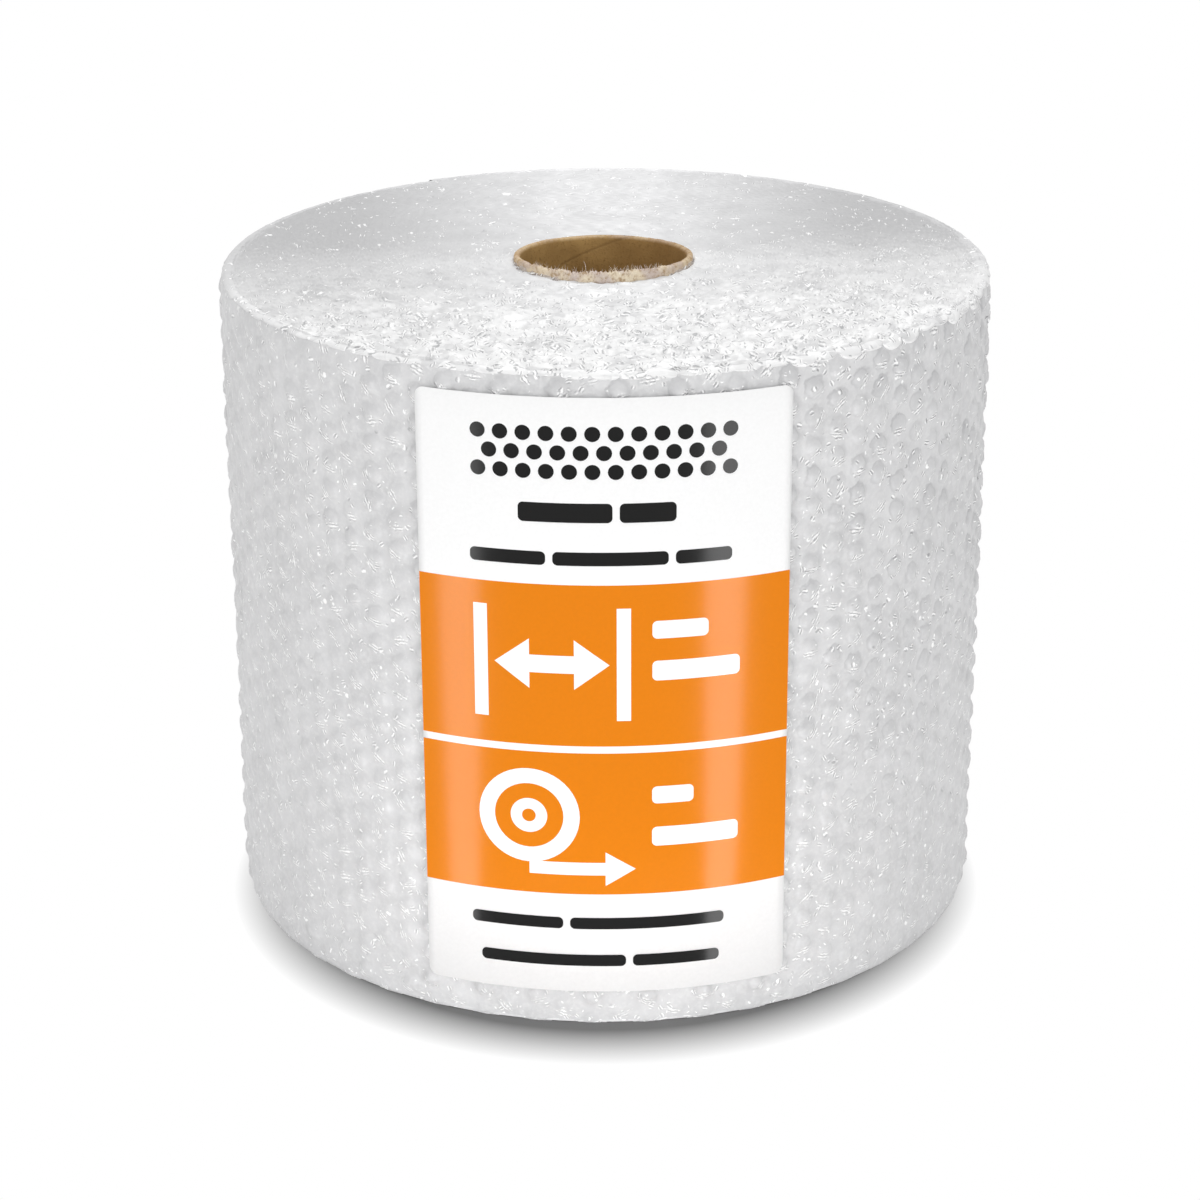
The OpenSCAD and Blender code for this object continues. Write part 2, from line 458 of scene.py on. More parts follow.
def add_bubble(draft, chance, column, row):
    middle, z = column * BUBBLE_STEP, ROWS_START + row * HALF_ROW
    fullness = bubble_fullness(chance, middle + cut_end, z)
    own = chance.random()
    lean_across, lean_along = chance.uniform(-0.8, 0.8) * MM, chance.uniform(-0.8, 0.8) * MM
    outer = []
    for across, along in LATTICE_CORNERS:
        place = (across / 6 * BUBBLE_STEP * film_radius / BUBBLE_RADIUS,
                 along / 6 * HALF_ROW / BUBBLE_RADIUS, own)
        outer.append((draft.border_point(6 * column + across, 6 * row + along), place))
    for share, rise in BUBBLE_RINGS:
        ring = []
        for i in range(RING_POINTS):
            angle = 2 * math.pi * i / RING_POINTS
            reach = share * chance.uniform(0.9, 1.04)
            u, v = reach * math.cos(angle), reach * math.sin(angle)
            across = BUBBLE_RADIUS * u + lean_across * rise * 0.5
            along = BUBBLE_RADIUS * v + lean_along * rise * 0.5
            up = BUBBLE_HEIGHT * fullness * rise * chance.uniform(0.8, 1.08)
            ring.append((draft.add_point(middle + across / film_radius, z + along, up), (u, v, own)))
        for i in range(RING_POINTS):
            j = (i + 1) % RING_POINTS
            draft.faces.append((outer[i], outer[j], ring[j], ring[i]))
        outer = ring
    up = BUBBLE_HEIGHT * fullness * chance.uniform(0.8, 1.0)
    top = (draft.add_point(middle + lean_across / film_radius, z + lean_along, up), (0, 0, own))
    for i in range(RING_POINTS):
        draft.faces.append((outer[i], outer[(i + 1) % RING_POINTS], top))


print("points round one bubble:", RING_POINTS * (1 + len(BUBBLE_RINGS)))

# %% The whole last turn
EDGE_CALM = 7 * MM
LABEL_CLEARANCE = 0.1 * MM
LEAST_AREA = 1e-10


def bend_skin(draft):
    """Winds the flat draft round the roll: calm at the rims and the cut end, and under the label."""
    turned, height, lift = np.array(draft.points).T
    turned = np.minimum(turned, 2 * math.pi)
    height = np.clip(height, 0, SKIN_TOP)
    lift = np.where(turned < 0, 0.3 * lift, lift)
    lift *= np.clip((SKIN_TOP - height) / EDGE_CALM, 0, 1) * np.clip(0.35 + height / EDGE_CALM, 0, 1)
    angle = turned + cut_end
    radius = skin_radius(turned, height)
    smooth = round_points(radius, angle, height)
    sway = 0.45 * MM * wander(smooth, 45 * MM) + 0.25 * MM * wander(smooth, 12 * MM, 4.0)
    radius = np.minimum(radius + lift + sway, label_radius - label_thickness - LABEL_CLEARANCE)
    return round_points(radius, angle, height)


def twice_area(corners):
    first, second, last = [corner - corners[0] for corner in (corners[1], corners[2], corners[-1])]
    return np.linalg.norm(np.cross(first, second)) + np.linalg.norm(np.cross(second, last))


def make_film_skin():
    chance = random.Random(7)
    draft = SkinDraft()
    for column in range(BUBBLE_COLUMNS + 1):
        for row in range(2 * BUBBLE_ROWS + 1):
            if (column + row) % 2:
                add_bubble(draft, chance, column, row)
    points = bend_skin(draft)
    # Faces that the cut end or the rims have squeezed flat are left out
    kept = [face for face in draft.faces if twice_area([points[p] for p, place in face]) > LEAST_AREA]
    mesh = new_mesh("film_last_turn", points, [[p for p, place in face] for face in kept])
    skin = make_piece("film_last_turn", mesh)
    places = np.array([place for face in kept for p, place in face], np.float32)
    attribute = skin.data.attributes.new("bubble_place", "FLOAT_VECTOR", "CORNER")
    attribute.data.foreach_set("vector", places.ravel())
    return skin


film_skin = make_film_skin()

# %% [markdown]
# ## The ends of the turns
#
# Seen from above, the roll is one long spiral of film edges. Each edge is wavy, because it was
# cut through bubbles, and it is crushed where the roll was pushed about, mostly at the front.
# A picture of rings would look flat, so the mesh follows the spiral with one line of points on
# each edge and one in each gap, and spends its faces where the edges are.

# %% Crumpling of the edges
TURN_SPACING_FOR_NOISE = 2.1 * MM


def liveliness(points):
    """How crumpled the film is, from 0 at the back to 1 at the front and a little to the right."""
    towards = (0.15 * points[:, 0] - 0.95 * points[:, 1]) / film_radius
    share = np.clip((towards + 0.3) / 1.15, 0, 1)
    return share * share * (3 - 2 * share)


def crush(points, turn_number, lively):
    """How far each film edge is pushed up or down."""
    layered = points.copy()
    layered[:, 2] = turn_number * TURN_SPACING_FOR_NOISE
    folds = 1 - 3.2 * np.abs(wander(layered, 11 * MM, 1.0))
    creases = 1 - 3.2 * np.abs(wander(layered, 6 * MM, 3.0))
    fine = wander(layered, 3.4 * MM, 2.0)
    own_height = 0.3 * np.sin(2.4 * np.floor(turn_number))
    return MM * (0.2 + 1.4 * lively ** 1.5) * (0.9 * folds + 0.5 * creases + 0.25 * fine + own_height)


print("liveliness in front:", round(float(liveliness(np.array([[0, -film_radius, 0]]))[0]), 2))

# %% Spiral of film edges
GAP_DEPTH = 0.9 * MM
EDGE_WAVE = 0.3 * MM
WAVE_LENGTH = 13 * MM
SKIRT_DEPTH = 5 * MM


def make_turn_edges(name, upper, points_round):
    rows = 2 * (wound_turns - 1) + 1
    row = np.repeat(np.arange(rows), points_round)
    column = np.tile(np.arange(points_round), rows)
    turned = 2 * math.pi * column / points_round
    turn_number = row / 2 + column / points_round
    radius = core_radius + (turn_number - 0.5) * film_turn
    is_edge = row % 2 == 1
    along = radius * (turned + math.pi * row)
    wave = EDGE_WAVE * np.sin(2 * math.pi * along / WAVE_LENGTH + 1.3 * np.sin(along / (7 * WAVE_LENGTH)))
    radius = np.maximum(radius + np.where(is_edge, wave, 0.4 * wave), core_radius + 0.1 * MM)
    points = round_points(radius, turned + cut_end, np.zeros(len(radius)))
    lively = liveliness(points) if upper else np.full(len(points), 0.3)
    up = crush(points, turn_number, lively)
    up = np.where(is_edge, up, 0.8 * up - GAP_DEPTH * (1 - 0.55 * lively))
    if upper:
        points[:, 2] = roll_height + np.clip(up, -5 * MM, 3.2 * MM) - 0.3 * MM
    else:
        points[:, 2] = np.where(is_edge, np.maximum(0.15 * MM, 0.5 * up), -0.7 * up)
    faces = grid_faces(rows, points_round)
    # After one round, each line runs on as the line of its kind in the next turn
    for r in range(1, rows - 2):
        last, following = r * points_round - 1, (r + 1) * points_round
        faces.append((last, following, following + points_round, last + points_round))
    # A skirt round the outermost edge hides the hollow below the spiral
    first = (rows - 1) * points_round
    skirt = points[first:] + np.array([0, 0, -SKIRT_DEPTH if upper else SKIRT_DEPTH])
    faces += grid_faces(2, points_round, first)
    if upper:
        faces = [face[::-1] for face in faces]
    mesh = new_mesh(name, np.concatenate([points, skirt]), faces)
    edges = make_piece(name, mesh)
    point_values(edges, "lively", np.concatenate([lively, lively[first:]]))
    point_values(edges, "rim", np.zeros(len(mesh.vertices)))
    return edges


upper_edges = make_turn_edges("film_edges_upper", True, 660)
lower_edges = make_turn_edges("film_edges_lower", False, 480)

# %% [markdown]
# ## The lip
#
# Where the side meets the upper end, the last turn's edge is folded over in loops as wide as a
# bubble. It is a separate ring, finer than the spiral, that runs over the shoulder and ends on
# the side in a scalloped line. The lower end has a plain ring that closes it.

# %% Lip rings
LIP_POINTS = 16 * BUBBLE_COLUMNS
LOOP_BULGE = 0.7
# Each line round the lip: its distance from the side, its drop from the top, the share of the
# loop's own drop that is added, the share of the loop's bulge, and how crumpled the line is
LIP_LINES = ((-8.5, 3.5, 0.0, 0.0, 0.9), (-5.5, 0.9, 0.0, 0.0, 0.9), (-3.2, 0.3, 0.0, 0.0, 0.8),
             (-1.6, 0.2, 0.0, 0.0, 0.6), (-0.5, 0.6, 0.0, 0.3, 0.45), (0.3, 1.4, 0.2, 0.8, 0.35),
             (0.6, 1.7, 0.6, 1.0, 0.3), (0.3, 1.8, 0.9, 0.6, 0.25), (-0.6, 1.9, 1.04, 0.0, 0.2))
FOOT_LINES = ((-2.6, 1.2, 0.0, 0.0, 0.0), (-1.6, 0.2, 0.0, 0.0, 0.0), (-0.4, 0.1, 0.0, 0.0, 0.0),
              (0.15, 0.7, 0.0, 0.0, 0.0), (-0.4, 2.4, 0.0, 0.0, 0.0))


def make_lip(name, upper, lines, seed):
    chance = random.Random(seed)
    depth = [chance.uniform(1.0, 4.6) * MM for k in range(BUBBLE_COLUMNS + 1)]
    shift = [chance.uniform(-0.2, 0.2) for k in range(BUBBLE_COLUMNS + 1)]
    width = LIP_POINTS + 1
    turned = 2 * math.pi * np.arange(width) / LIP_POINTS
    loop = turned / BUBBLE_STEP
    loop_number = np.minimum(loop.astype(int), BUBBLE_COLUMNS - 1)
    in_loop = 2 * (loop - loop_number) - 1 + np.array(shift)[loop_number]
    angle = turned + cut_end
    plain = np.array([clear_share(a) for a in angle])
    arch = np.sqrt(np.clip(1 - in_loop ** 2, 0, 1)) * (0.3 + 0.7 * plain)
    drop = arch * np.array(depth)[loop_number] if upper else np.zeros(width)
    points, rim, lively = [], [], []
    for k, (out, down, drop_share, bulge, crumpled) in enumerate(lines):
        down_now = down * MM + drop_share * drop
        height = roll_height - down_now if upper else down_now
        # The lip lies flat where the bubbles don't show
        stands_out = out * MM * (0.25 + 0.75 * plain if upper and out > 0 else 1.0)
        radius = skin_radius(turned, height) + stands_out + bulge * LOOP_BULGE * MM * arch
        line = round_points(radius, angle, height)
        crumple = wander(line, 3.0 * MM, 5.0) * 0.75 + wander(line, 7 * MM, 6.0)
        strength = crumpled * (0.35 + 0.65 * liveliness(line))
        line[:, 2] += crumple * strength * MM
        points.append(line)
        # The last two lines, on the side, carry a painted highlight where the bubbles show
        rim.append(plain if upper and k >= len(lines) - 2 else np.zeros(width))
        lively.append(liveliness(line) if upper else np.full(width, 0.3))
    faces = grid_faces(len(lines), width)
    if upper:
        faces = [face[::-1] for face in faces]
    # The step at the cut end
    for start in range(0, (len(lines) - 1) * width, width):
        faces.append((start, start + width, start + 2 * width - 1, start + width - 1))
    points = np.concatenate(points)
    points[:, 2] = np.clip(points[:, 2], 0.05 * MM, roll_height + 3 * MM)
    ring = make_piece(name, new_mesh(name, points, faces))
    point_values(ring, "rim", np.concatenate(rim))
    point_values(ring, "lively", np.concatenate(lively))
    return ring


upper_lip = make_lip("film_lip_upper", True, LIP_LINES, 11)
lower_lip = make_lip("film_lip_lower", False, FOOT_LINES, 12)

# %% [markdown]
# ## The cut end
#
# The film's free edge is a narrow flap that stands a little off the turn below it. It is a
# strip of seven upright lines: up over the step, round the edge and down behind it.

# %% Cut end of the film
FLAP_POINTS = 240
# Each line's place along the turn and its distance from the skin, in millimetres
FLAP_LINES = ((-4.0, -0.6), (-2.0, 0.35), (-0.6, 0.6), (0.5, 0.7), (0.9, 0.3), (0.5, -0.4), (0.3, -2.4))
# The lines round the flap's edge, which carry a painted highlight
FLAP_HIGHLIGHT_LINES = (3, 4)


def make_cut_end():
    height = np.linspace(0.5 * MM, SKIN_TOP, FLAP_POINTS)
    skin = skin_radius(np.full(FLAP_POINTS, 2 * math.pi), height)
    lines = []
    for step, out in FLAP_LINES:
        wave = np.array([noise.noise(Vector((0, step * 0.1, z / (9 * MM)))) for z in height])
        turned = 2 * math.pi + (step + 0.5 * wave) * MM / film_radius
        lines.append(round_points(skin + (out + 0.35 * wave) * MM, turned + cut_end, height))
    faces = [(a, d, c, b) for a, b, c, d in grid_faces(len(lines), FLAP_POINTS)]
    mesh = new_mesh("film_cut_end", np.concatenate(lines), faces)
    flap = make_piece("film_cut_end", mesh)
    # A painted highlight on the lines round the edge
    painted_highlight = [1.0 if k in FLAP_HIGHLIGHT_LINES else 0.0 for k in range(len(lines))]
    point_values(flap, "rim", np.repeat(painted_highlight, FLAP_POINTS))
    point_values(flap, "lively", np.full(FLAP_POINTS * len(lines), 0.3))
    return flap


cut_flap = make_cut_end()

# %% [markdown]
# ## Film materials
#
# Bubble film is clear, but many layers of it look grey-white, with darker discs where a bubble
# traps the shade and bright glints where it is creased. Layers of real glass would take very
# long to render, so the film is an opaque glossy plastic whose colour holds those discs as
# painted shade and those glints as painted highlights, and the domes and edges themselves are
# real geometry that catches the light.
#
# Every corner of a bubble's patch knows its place in the bubble: how far across and along it
# lies, in bubble radii, and one random number for the whole bubble. From these a node group
# draws each bubble's soft painted shade and the bundle of wrinkles beside its foot, as painted
# glints and shade with a soft painted halo, each turned a little differently.

# %% Node group: one bubble's painted shade and glints
def draw_disc_shade(wire, place, u, v, own):
    """A bubble's soft painted shade, with an uneven outline and deeper at the upper left."""
    uneven = wire.difference(wire.noise(place, 230), 0.5)
    from_middle = wire.math("SQRT", wire.total(wire.product(u, u), wire.product(v, v)))
    outline = wire.total(from_middle, wire.product(uneven, 1.2))
    inside_disc = wire.ramp(outline, 0.7, 1.1, 1.0, 0.0)
    slope = wire.total(wire.product(v, 0.35), wire.product(u, -0.35))
    shade = wire.total(slope, 0.6, clamp=True)
    strength = wire.ramp(own, 0.1, 0.9, 0.2, 0.9)
    # A thin ring of painted shade shows where the bubble's wall stands upright
    off_ring = wire.math("ABSOLUTE", wire.difference(outline, 0.92))
    foot_ring = wire.ramp(off_ring, 0.04, 0.2, 0.6, 0.0)
    filled = wire.total(wire.product(inside_disc, 0.5), foot_ring)
    return wire.product(filled, shade, strength)


def make_bubble_group():
    group, wire, inside, outside = new_group(
        "bubble_shade_and_glints", ["Place in bubble", "Vector"], ["Side"],
        ["Disc shade", "Bright", "Painted shade", "Height", "Glint halo"])
    place = inside["Vector"]
    u, v, own = wire.split(inside["Place in bubble"])

    # The painted glints and their painted shade follow the bubble's foot where light gathers: at
    # the lower right of bubbles on the roll's right, and at the lower left of those on its left
    own_turn = wire.difference(wire.math("FRACT", wire.product(own, 37.0)), 0.5)
    towards = wire.total(wire.product(inside["Side"], 0.8), -math.pi / 2, wire.product(own_turn, 1.6))
    cosine, sine = wire.math("COSINE", towards), wire.math("SINE", towards)
    across = wire.total(wire.product(u, cosine), wire.product(v, sine))
    along = wire.difference(wire.product(v, cosine), wire.product(u, sine))
    fine = wire.difference(wire.noise(place, 500, detail=1), 0.5)
    off_foot = wire.math("ABSOLUTE", wire.difference(across, 0.6))
    off_middle = wire.product(wire.math("ABSOLUTE", along), 0.6)
    away = wire.total(off_foot, off_middle, wire.product(fine, 0.9))
    held = wire.ramp(wire.math("FRACT", wire.product(own, 91.0)), 0.04, 0.12)
    # Fine noise bends the strokes and breaks them up
    broken = wire.ramp(wire.noise(place, 620, detail=1), 0.36, 0.46)
    shown = wire.product(wire.ramp(away, 0.3, 0.55, 1.0, 0.0), held, broken)
    bent = wire.total(wire.product(across, 20.0), wire.product(fine, 6.0), wire.product(own, 40.0))
    stripe = wire.math("SINE", bent)
    # Bright stripes are painted glints, dark ones painted shade, and a soft painted halo lies round them
    painted_highlight = wire.product(wire.total(stripe, 0.1), 3.0, clamp=True)
    painted_shade = wire.product(wire.difference(wire.product(stripe, -1.0), 0.55), 3.0, clamp=True)
    glow = wire.product(wire.ramp(away, 0.1, 0.7, 1.0, 0.0), held)
    wire.fill(outside, {"Disc shade": draw_disc_shade(wire, place, u, v, own), "Bright": wire.product(shown, painted_highlight),
                        "Painted shade": wire.product(shown, painted_shade), "Height": wire.product(shown, stripe),
                        "Glint halo": glow})
    return group


bubble_group = make_bubble_group()
print("group", bubble_group.name, "has", len(bubble_group.nodes), "nodes")

# %% [markdown]
# The side's own material starts from two greys in soft clouds and lays the marks over them:
# first the discs of painted shade and a soft painted halo, then the dark strokes of painted
# shade and last the bright painted glints. Haze keeps the discs faint at the front left and
# near the foot, where the film looks plain on the real roll.

# %% Film side material
FILM_IOR = 1.45


def make_film_side_material():
    material, wire, surface, place = new_material("film_side")
    x, y, z = wire.split(place)
    in_bubble = wire.add("ShaderNodeAttribute", attribute_name="bubble_place").outputs["Vector"]
    side = wire.math("DIVIDE", x, film_radius)
    marks_node = wire.add("ShaderNodeGroup", node_tree=bubble_group)
    marks = wire.fill(marks_node, {"Place in bubble": in_bubble, "Vector": place, "Side": side}).outputs
    loose = place_wrinkles(wire, place, 240, 760, 0.42, 0.36)
    glints = place_wrinkles(wire, place, 300, 700, 0.3, 0.3)

    haze = wire.total(wire.product(wire.noise(place, 14), 0.16), x, wire.ramp(y, 0.0, 0.06, 0.0, 0.35))
    clear = wire.product(wire.ramp(haze, -0.06, 0.2, 0.35, 1.0), wire.ramp(z, 0.05, 0.25, 0.3, 1.0))
    clouds = wire.ramp(wire.noise(place, 45, detail=4), 0.35, 0.65)
    mottle = wire.ramp(wire.noise(place, 400, detail=3, roughness=0.6), 0.45, 0.75, 0, 0.6)
    painted_shade = wire.largest(marks["Painted shade"], loose["Painted shade"])
    painted_highlight = wire.largest(marks["Bright"], loose["Bright"], glints["Bright"])
    body = wire.mix(clouds, grey(202, 1), grey(212, 1))
    body = wire.mix(mottle, body, grey(225))
    # Painted shade in the discs, a painted halo round the glints, painted shade in the dark strokes, and
    # painted glints on top
    body = wire.mix(wire.product(marks["Disc shade"], clear), body, grey(172, 2))
    body = wire.mix(wire.product(marks["Glint halo"], 0.3), body, grey(234))
    body = wire.mix(wire.product(painted_shade, clear), body, grey(150, 2))
    body = wire.mix(painted_highlight, body, grey(254))
    wire.fill(surface, {"Base Color": body, "Roughness": 0.42, "IOR": FILM_IOR})
    wire.bump(surface, wire.total(marks["Height"], loose["Height"]), 0.25 * MM, 0.6)
    return material


dress(make_film_side_material(), film_skin)

# %% [markdown]
# The ends need another finish: facets of crumpled film, some painted lighter as highlights
# where they catch the light, with dense wrinkles and their painted glints and shade where the
# film is lively, and a quiet grey at the back. Painted shade darkens the ends towards the left
# and right, and a painted highlight runs along the lip's rim and the cut end's edge. The
# meshes carry their liveliness as a value on every point, so one material serves the spirals,
# the lips and the cut end.

# %% Film edge material
def make_film_edge_material():
    material, wire, surface, place = new_material("film_edges")
    lively, rim = wire.read("lively"), wire.read("rim")
    coarse = place_wrinkles(wire, place, 150, 560, wire.ramp(lively, 0, 1, 0.1, 0.8), 0.4)
    fine = place_wrinkles(wire, place, 320, 850, wire.ramp(lively, 0, 1, 0.16, 0.8), 0.45)

    clouds = wire.noise(place, 60, detail=3)
    # Painted shade: the ends turn darker towards the left and right, where less light falls
    painted_side_shade = wire.ramp(wire.math("ABSOLUTE", wire.split(place)["X"]), 0.02, 0.12, 0.0, 0.9)
    # Painted highlights: random facets turn lighter where the film is lively, as crumpled facets catching
    # the light
    painted_facet_highlights = wire.product(coarse["Facet"], lively, 0.65)
    painted_shade = wire.product(wire.largest(coarse["Painted shade"], fine["Painted shade"]), wire.ramp(lively, 0.1, 0.8, 0.15, 0.75))
    # A painted highlight along the lip's rim and the cut end's edge
    painted_rim_highlight = wire.product(rim, wire.ramp(lively, 0.3, 0.9, 0.1, 0.85))
    painted_highlight = wire.largest(coarse["Bright"], fine["Bright"], painted_rim_highlight)
    quiet = wire.mix(wire.ramp(clouds, 0.35, 0.65), grey(217, 1), grey(229, 1))
    quiet = wire.mix(painted_side_shade, quiet, grey(182, 1))
    crumpled = wire.mix(wire.ramp(clouds, 0.38, 0.62), grey(204, 1), grey(232))
    body = wire.mix(lively, quiet, crumpled)
    body = wire.mix(painted_facet_highlights, body, grey(250))
    body = wire.mix(painted_shade, body, srgb(158, 159, 161))
    body = wire.mix(painted_highlight, body, grey(254))
    wire.fill(surface, {"Base Color": body, "Roughness": 0.34, "IOR": FILM_IOR})
    wire.bump(surface, wire.total(coarse["Height"], fine["Height"]), 0.3 * MM, 0.5)
    return material


dress(make_film_edge_material(), upper_edges, lower_edges, upper_lip, lower_lip, cut_flap)

# %% [markdown]
# ## The cardboard core
#
# The core is a tube wound from strips of brown paper. Its upper end was cut askew and is torn
# on the label's side, where pale fibres stand up. A cylinder with a rough material would keep a
# clean edge, so the tube's section is drawn anew at every step round it, and noise moves its
# rim.

# %% Rim of the core
CORE_POINTS_ROUND = 720
bore_radius = core_radius - core_wall
core_low_rim = roll_height + 0.5 * MM


def torn_share(angle):
    """How badly the rim is torn: 1 on the label's side and 0 at the back."""
    return max(0.0, -math.sin(angle))


def rim_height(angle):
    """The height of the core's rim: high on the label's side, low at the back, and torn."""
    x, y = math.cos(angle), math.sin(angle)
    slant = core_low_rim + (core_top - core_low_rim) * (1 - y) / 2
    spot = Vector((x * core_radius, y * core_radius, 0))
    waves = noise.noise(spot / (7 * MM)) * 1.0 * MM
    teeth = (0.4 - abs(noise.noise(spot / (1.5 * MM)))) * 1.8 * MM
    return slant + (waves + teeth) * (0.2 + 0.8 * torn_share(angle)) - 0.6 * MM


print("rim in front", round(rim_height(-math.pi / 2), 4), "behind", round(rim_height(math.pi / 2), 4))

# %% Core tube
INNER_HEIGHTS = np.concatenate([np.linspace(0.5 * MM, roll_height - 12 * MM, 12),
                                np.linspace(roll_height - 11 * MM, roll_height, 5)])


def core_section(rim, torn):
    """The tube's section at one angle: each corner's radius, height and wear, outside first."""
    outside = core_radius - 0.05 * MM
    section = [(outside, roll_height - 12 * MM, 0.0)]
    section += [(outside, z, torn) for z in (roll_height - 4 * MM, roll_height)]
    section += [(core_radius - 0.1 * MM, rim - 0.8 * MM, torn), (core_radius - 0.6 * MM, rim, torn),
                (core_radius - 1.5 * MM, rim + 0.2 * MM, torn),
                (bore_radius + 0.7 * MM, rim - 0.1 * MM, torn),
                (bore_radius + 0.1 * MM, rim - 0.8 * MM, 0.4 * torn)]
    section += [(bore_radius, min(z, rim - 1.5 * MM), 0.0) for z in INNER_HEIGHTS[::-1]]
    section += [(bore_radius + 0.4 * MM, 0.0, 0.0), (core_radius - 0.4 * MM, 0.0, 0.0)]
    return section + [(outside, 0.6 * MM, 0.0)]


def make_core():
    points, worn, faces = [], [], []
    for i in range(CORE_POINTS_ROUND):
        angle = 2 * math.pi * i / CORE_POINTS_ROUND
        direction = Vector((math.cos(angle), math.sin(angle), 0))
        torn = 0.35 + 0.65 * torn_share(angle)
        section = core_section(rim_height(angle), torn)
        for k, (radius, z, wear) in enumerate(section):
            if wear > 0 and z > roll_height:
                radius += 0.5 * MM * torn * noise.noise(Vector((angle * 45, k, 0)))
                z += 0.5 * MM * torn * noise.noise(Vector((angle * 60, k, 5)))
            points.append(direction * radius + Vector((0, 0, z)))
            worn.append(wear)
    corners = len(section)
    for i in range(CORE_POINTS_ROUND):
        here, there = i * corners, (i + 1) % CORE_POINTS_ROUND * corners
        for k in range(corners):
            m = (k + 1) % corners
            faces.append((there + k, there + m, here + m, here + k))
    core = make_piece("core_board", new_mesh("core_board", points, faces))
    point_values(core, "worn", worn)
    return core


core_piece = make_core()

# %% [markdown]
# Paper fibres stand on the torn rim, most of them a little to the right. A hair system would
# have to be turned into a mesh for the export, so each fibre is a short tapered spike with
# three sides, leaning and curling its own way.

# %% Fibres on the torn rim
FIBRE_COUNT = 150
FIBRE_SIDES = 3
FIBRE_STEPS = 4
# The direction of the one long fibre, in degrees, and its length in millimetres
LONG_FIBRE = (-102, 7.0)
# How deep each fibre's foot sits in the board, in millimetres
FIBRE_FOOT = 0.8


def fibre_faces(first):
    """Faces round a fibre, over its tip and under its foot."""
    faces = []
    for step in range(FIBRE_STEPS - 1):
        for side in range(FIBRE_SIDES):
            a = first + FIBRE_SIDES * step + side
            b = first + FIBRE_SIDES * step + (side + 1) % FIBRE_SIDES
            faces.append((a, b, b + FIBRE_SIDES, a + FIBRE_SIDES))
    last = first + FIBRE_SIDES * (FIBRE_STEPS - 1)
    tip = last + FIBRE_SIDES
    faces += [(last + side, last + (side + 1) % FIBRE_SIDES, tip) for side in range(FIBRE_SIDES)]
    return faces + [(first + 2, first + 1, first)]


def make_fibres():
    chance = random.Random(21)
    fibres = [LONG_FIBRE]
    for k in range(FIBRE_COUNT):
        middle, spread = (-68, 18) if k % 2 else (-100, 45)
        fibres.append((middle + spread * chance.uniform(-1, 1), chance.uniform(0.8, 3.0)))
    points, faces = [], []
    for degrees, tall in fibres:
        angle = math.radians(degrees)
        radius = chance.uniform(bore_radius + 0.2 * MM, core_radius - 0.6 * MM)
        foot = rim_height(angle) - FIBRE_FOOT * MM
        at = Vector((radius * math.cos(angle), radius * math.sin(angle), foot))
        lean = Vector((chance.uniform(-0.5, 0.5), chance.uniform(-0.6, 0.3), 1)).normalized()
        curl = Vector((chance.uniform(-0.5, 0.5), chance.uniform(-0.5, 0.5), 0))
        thick = (0.12 + 0.03 * tall) * MM
        faces += fibre_faces(len(points))
        for step in range(FIBRE_STEPS):
            share = step / FIBRE_STEPS
            middle = at + lean * (tall + FIBRE_FOOT) * MM * share + curl * tall * MM * share * share
            for side in range(FIBRE_SIDES):
                a = 2 * math.pi * side / FIBRE_SIDES
                points.append(middle + Vector((math.cos(a), math.sin(a), 0)) * thick * (1 - 0.8 * share))
        points.append(at + lean * (tall + FIBRE_FOOT) * MM + curl * tall * MM)
    piece = make_piece("core_fibres", new_mesh("core_fibres", points, faces))
    point_values(piece, "worn", np.ones(len(points)))
    return piece


fibres = make_fibres()

# %% [markdown]
# Core board is matt brown paper with darker specks, and a seam climbs round it where two strips
# of paper meet. Where it is torn it is pale, with a pinkish grey where its outer paper has come
# away. The wear stored on each point blends the two finishes.

# %% Core material
SEAM_TURNS_PER_METRE = 11


def make_core_material():
    material, wire, surface, place = new_material("core_board")
    worn = wire.read("worn")
    x, y, z = wire.split(place)
    specks = wire.noise(place, 900)
    clouds = wire.ramp(wire.noise(place, 60, detail=4), 0.3, 0.7)
    brown = wire.mix(clouds, srgb(160, 127, 78), srgb(195, 160, 103))
    # The board is darker on the right, where less light falls in
    brown = wire.mix(wire.ramp(x, -0.02, 0.04, 0.0, 0.6), brown, srgb(138, 103, 59))
    brown = wire.mix(wire.ramp(specks, 0.55, 0.75, 0, 0.5), brown, srgb(120, 90, 52))
    turned = wire.math("DIVIDE", wire.math("ARCTAN2", y, x), 2 * math.pi)
    climb = wire.math("FRACT", wire.total(turned, wire.product(z, SEAM_TURNS_PER_METRE)))
    seam = wire.ramp(wire.math("ABSOLUTE", wire.difference(climb, 0.5)), 0.0, 0.012, 1.0, 0.0)
    brown = wire.mix(wire.product(seam, 0.22), brown, srgb(92, 68, 40))

    fray = wire.noise(place, 420, detail=4, roughness=0.7)
    patches = wire.ramp(wire.noise(place, 90), 0.42, 0.58)
    torn = wire.mix(patches, srgb(204, 190, 182), srgb(226, 212, 188))
    torn = wire.mix(wire.ramp(fray, 0.38, 0.5, 0.8, 0.0), torn, srgb(160, 132, 98))
    torn = wire.mix(wire.ramp(fray, 0.58, 0.7), torn, srgb(238, 228, 208))
    wire.fill(surface, {"Base Color": wire.mix(worn, brown, torn), "Roughness": 0.85,
                        "Specular IOR Level": 0.2})
    rough = wire.total(wire.product(specks, 0.6), wire.product(seam, -0.6), wire.product(fray, worn))
    wire.bump(surface, rough, 0.4 * MM, 0.8)
    return material


dress(make_core_material(), core_piece, fibres)

# %% [markdown]
# Two scraps of the first turn of film stick to the outside of the rim. They are thin wavy
# sheets, half see-through, so the board shows behind them.

